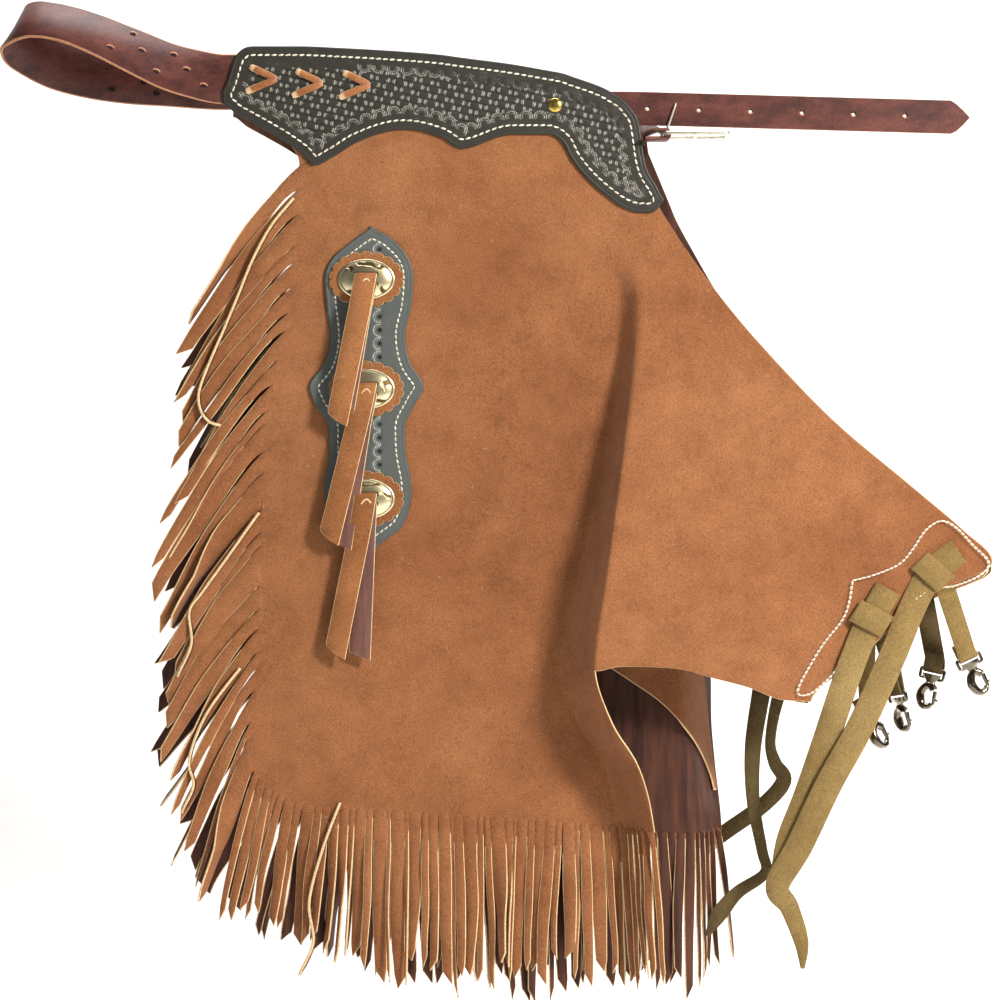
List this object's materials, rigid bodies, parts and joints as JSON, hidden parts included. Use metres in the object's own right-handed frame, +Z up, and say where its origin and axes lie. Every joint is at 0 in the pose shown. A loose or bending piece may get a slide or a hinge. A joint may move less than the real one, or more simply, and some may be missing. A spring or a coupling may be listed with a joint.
{
  "type": "pair of chink chaps",
  "caption": "Short fringed leather chaps: two suede legs on tooled yokes, joined at the waist by a back belt, with a billet and buckle, conchos, leg straps and snaps.",
  "frame": {"origin": "middle of the waist opening, between the tops of the two yokes, where the pair hangs from the waist", "axes": "+Z up, +X towards the buckle end of the waist, the near leg towards -Y"},
  "size_m": [0.9492, 0.1614, 0.9546],
  "materials": {
    "suede": "matt suede, rough side out",
    "tooled_leather": "stamped and dyed, satin",
    "latigo": "oiled, satin",
    "lace": "oiled lace",
    "rosette_suede": "matt suede",
    "strap_leather": "chrome-tanned, matt",
    "brass": "polished",
    "engraved_metal": "engraved and polished",
    "nickel": "polished"
  },
  "bodies": {
    "root": {"near_leg_panel": "suede", "near_side_fringe": "suede", "near_hem_fringe": "suede", "near_yoke": "tooled_leather", "near_yoke_lace_1": "lace", "near_yoke_lace_2": "lace", "near_yoke_lace_3": "lace", "near_rivet": "brass", "near_concho_plate": "tooled_leather", "near_rosette_1": "rosette_suede", "near_concho_1": "engraved_metal", "near_concho_string_1": "rosette_suede", "near_rosette_2": "rosette_suede", "near_concho_2": "engraved_metal", "near_concho_string_2": "rosette_suede", "near_rosette_3": "rosette_suede", "near_concho_3": "engraved_metal", "near_concho_string_3": "rosette_suede", "near_wing_patch": "suede", "near_leg_strap_1": "strap_leather", "near_snap_strap_1": "strap_leather", "near_snap_1": "nickel", "near_leg_strap_2": "strap_leather", "near_snap_strap_2": "strap_leather", "near_snap_2": "nickel", "far_leg_panel": "suede", "far_side_fringe": "suede", "far_hem_fringe": "suede", "far_yoke": "tooled_leather", "far_yoke_lace_1": "lace", "far_yoke_lace_2": "lace", "far_yoke_lace_3": "lace", "far_rivet": "brass", "far_concho_plate": "tooled_leather", "far_rosette_1": "rosette_suede", "far_concho_1": "engraved_metal", "far_concho_string_1": "rosette_suede", "far_rosette_2": "rosette_suede", "far_concho_2": "engraved_metal", "far_concho_string_2": "rosette_suede", "far_rosette_3": "rosette_suede", "far_concho_3": "engraved_metal", "far_concho_string_3": "rosette_suede", "far_wing_patch": "suede", "far_leg_strap_1": "strap_leather", "far_snap_strap_1": "strap_leather", "far_snap_1": "nickel", "far_leg_strap_2": "strap_leather", "far_snap_strap_2": "strap_leather", "far_snap_2": "nickel", "back_belt": "latigo", "billet": "latigo", "buckle_strap": "latigo", "buckle_frame": "nickel"},
    "near_snap_gate_1_body": {"near_snap_gate_1": "nickel"},
    "near_snap_gate_2_body": {"near_snap_gate_2": "nickel"},
    "far_snap_gate_1_body": {"far_snap_gate_1": "nickel"},
    "far_snap_gate_2_body": {"far_snap_gate_2": "nickel"},
    "tongue": {"buckle_tongue": "nickel"}
  },
  "joints": [
    {"name": "near_snap_gate_1_hinge", "type": "hinge", "parent": "root", "child": "near_snap_gate_1_body", "pos_m": [0.51718, -0.01252, -0.58454], "axis": [-0.1899, 0.9781, -0.0846], "range_deg": [0, 28], "stiffness_Nm_per_rad": 0.02},
    {"name": "near_snap_gate_2_hinge", "type": "hinge", "parent": "root", "child": "near_snap_gate_2_body", "pos_m": [0.4214, -0.01297, -0.63566], "axis": [-0.5155, 0.8192, -0.2514], "range_deg": [0, 28], "stiffness_Nm_per_rad": 0.02},
    {"name": "far_snap_gate_1_hinge", "type": "hinge", "parent": "root", "child": "far_snap_gate_1_body", "pos_m": [0.47364, 0.00445, -0.60294], "axis": [0.4891, 0.866, -0.104], "range_deg": [0, 28], "stiffness_Nm_per_rad": 0.02},
    {"name": "far_snap_gate_2_hinge", "type": "hinge", "parent": "root", "child": "far_snap_gate_2_body", "pos_m": [0.44635, 0.00318, -0.62244], "axis": [0.7948, 0.5736, 0.1982], "range_deg": [0, 28], "stiffness_Nm_per_rad": 0.02},
    {"name": "buckle_tongue_hinge", "type": "hinge", "parent": "root", "child": "tongue", "pos_m": [0.214, -0.0169, -0.07091], "axis": [0, 1, 0], "range_deg": [-55, 62]}
  ]
}
